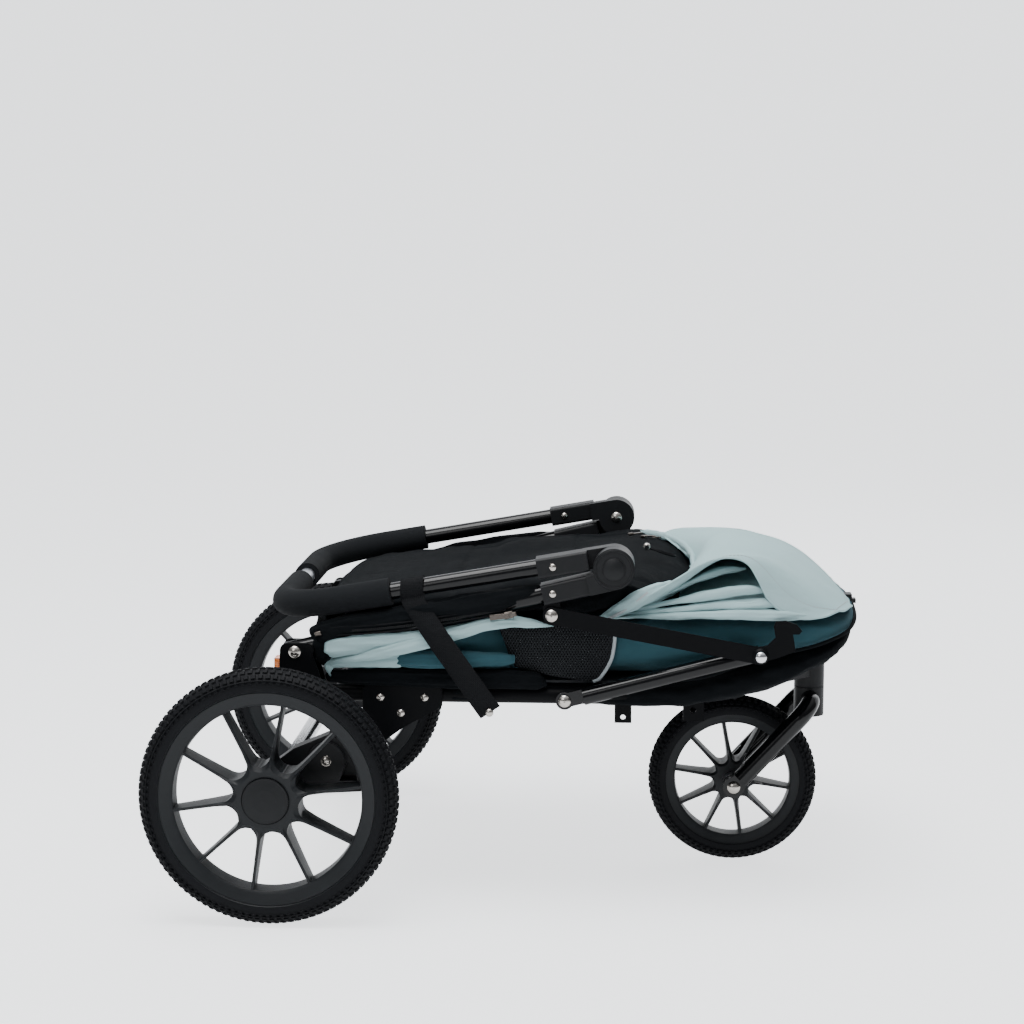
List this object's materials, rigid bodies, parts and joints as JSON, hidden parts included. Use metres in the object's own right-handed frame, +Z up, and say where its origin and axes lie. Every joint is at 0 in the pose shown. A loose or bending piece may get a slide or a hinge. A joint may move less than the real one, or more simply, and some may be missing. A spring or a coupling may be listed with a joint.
{
  "type": "folded pet stroller",
  "caption": "Jogger-style pet stroller, folded flat: large rear wheels, swivelling front wheel, hinged uprights, fold-back handle with foam grips and a collapsed fabric cabin.",
  "frame": {"origin": "on the floor, under the middle of the folded stroller's length and width; the rear axle is 0.261 m behind it", "axes": "+X forward to the front wheel, +Y to the stroller's left along the rear axle, +Z up"},
  "size_m": [0.812, 0.601, 0.4165],
  "materials": {
    "rubber": "matt moulded tyre rubber with a block tread",
    "wheel_plastic": "fine-grained moulded nylon, dark grey black",
    "cap_plastic": "matt moulded cap",
    "bearing_steel": "plain turned steel",
    "axle_chrome": "polished chromed tube",
    "moulded_black": "satin moulded plastic",
    "powder_black": "satin black powder coat on pressed steel",
    "gloss_tube": "gloss black paint on steel tube",
    "bolt_zinc": "zinc-plated domed heads, slightly warm",
    "foam": "closed-cell foam grip, matt",
    "strap_webbing": "woven black webbing",
    "cloth_black": "black woven polyester",
    "cloth_mint": "pale mint woven polyester",
    "cloth_teal": "dark teal woven polyester",
    "floor_board": "stiff floor board",
    "reflector": "orange prismatic reflector"
  },
  "bodies": {
    "chassis": {"rear_axle_shaft": "bearing_steel", "rear_axle_tube": "axle_chrome", "rear_axle_nuts": "bearing_steel", "axle_housing_right": "moulded_black", "axle_housing_left": "moulded_black", "channel_bracket_right": "powder_black", "channel_bracket_left": "powder_black", "bracket_rivets": "bolt_zinc", "pivot_bracket_right": "powder_black", "pivot_bracket_left": "powder_black", "rear_pivot_bolts": "bolt_zinc", "rear_reflectors": "reflector", "chassis_rail_right": "powder_black", "chassis_rail_left": "powder_black", "rear_cross_tube": "powder_black", "middle_cross_tube": "powder_black", "caster_head": "moulded_black", "under_tabs": "powder_black", "strut_pivot_bolts": "bolt_zinc", "cabin_floor_board": "floor_board", "lower_tray": "cloth_black", "cabin_body": "cloth_teal", "canopy": "cloth_mint", "nose_clip": "moulded_black"},
    "rear_wheel_right": {"rear_tyre_right": "rubber", "rear_rim_right": "wheel_plastic", "rear_hub_cap_right": "cap_plastic", "rear_hub_bushes_right": "bearing_steel"},
    "rear_wheel_left": {"rear_tyre_left": "rubber", "rear_rim_left": "wheel_plastic", "rear_hub_cap_left": "cap_plastic", "rear_hub_bushes_left": "bearing_steel"},
    "fork": {"fork_crown": "moulded_black", "caster_stem": "bearing_steel", "fork_leg_right": "gloss_tube", "fork_leg_left": "gloss_tube", "front_axle_bolt": "bolt_zinc"},
    "front_wheel": {"front_tyre": "rubber", "front_rim": "wheel_plastic", "front_hub_bushes": "bearing_steel"},
    "uprights": {"upright_right": "gloss_tube", "upright_left": "gloss_tube", "elbow_lower_right": "moulded_black", "elbow_lower_left": "moulded_black", "elbow_pins": "bolt_zinc", "link_lugs": "powder_black", "link_pivot_bolts": "bolt_zinc", "side_fold_right": "cloth_mint", "side_fold_left": "cloth_mint", "top_cover": "cloth_black"},
    "button_right": {"elbow_button_right": "cap_plastic"},
    "button_left": {"elbow_button_left": "cap_plastic"},
    "handle": {"handle_tube": "gloss_tube", "foam_grip_right": "foam", "foam_grip_left": "foam", "elbow_uppers": "moulded_black", "fold_strap": "strap_webbing"},
    "links": {"side_links": "powder_black"},
    "struts": {"front_struts": "gloss_tube"},
    "brake": {"brake_bar": "moulded_black"}
  },
  "joints": [
    {"name": "rear_wheel_right_spin", "type": "hinge", "parent": "chassis", "child": "rear_wheel_right", "pos_m": [-0.261, -0.275, 0.145], "axis": [0, 1, 0], "continuous": true},
    {"name": "rear_wheel_left_spin", "type": "hinge", "parent": "chassis", "child": "rear_wheel_left", "pos_m": [-0.261, 0.275, 0.145], "axis": [0, 1, 0], "continuous": true},
    {"name": "fork_swivel", "type": "hinge", "parent": "chassis", "child": "fork", "pos_m": [0.3525, 0, 0.2], "axis": [0, 0, 1], "continuous": true},
    {"name": "front_wheel_spin", "type": "hinge", "parent": "fork", "child": "front_wheel", "pos_m": [0.261, 0, 0.102], "axis": [0, 1, 0], "continuous": true},
    {"name": "frame_unfold", "type": "hinge", "parent": "chassis", "child": "uprights", "pos_m": [-0.2385, 0, 0.29584], "axis": [0, -1, 0], "range_deg": [0, 72]},
    {"name": "handle_unfold", "type": "hinge", "parent": "uprights", "child": "handle", "pos_m": [0.1175, 0, 0.3935], "axis": [0, 1, 0], "range_deg": [0, 155]},
    {"name": "side_link_turn", "type": "hinge", "parent": "uprights", "child": "links", "pos_m": [0.0487, 0, 0.34], "axis": [0, 1, 0], "range_deg": [0, 94]},
    {"name": "front_strut_rise", "type": "hinge", "parent": "chassis", "child": "struts", "pos_m": [0.063, 0, 0.24], "axis": [0, -1, 0], "range_deg": [0, 90]},
    {"name": "elbow_button_right_press", "type": "slide", "parent": "uprights", "child": "button_right", "axis": [0, 1, 0], "range_m": [0, 0.004], "stiffness_N_per_m": 400, "springref_m": -0.002},
    {"name": "elbow_button_left_press", "type": "slide", "parent": "uprights", "child": "button_left", "axis": [0, -1, 0], "range_m": [0, 0.004], "stiffness_N_per_m": 400, "springref_m": -0.002},
    {"name": "brake_press", "type": "hinge", "parent": "chassis", "child": "brake", "pos_m": [-0.203, 0, 0.174], "axis": [0, 1, 0], "range_deg": [0, 20]}
  ],
  "couplings": [
    {"joint": "side_link_turn", "follows": "frame_unfold", "ratio": 1.3006},
    {"joint": "front_strut_rise", "follows": "frame_unfold", "ratio": 1.2449}
  ]
}
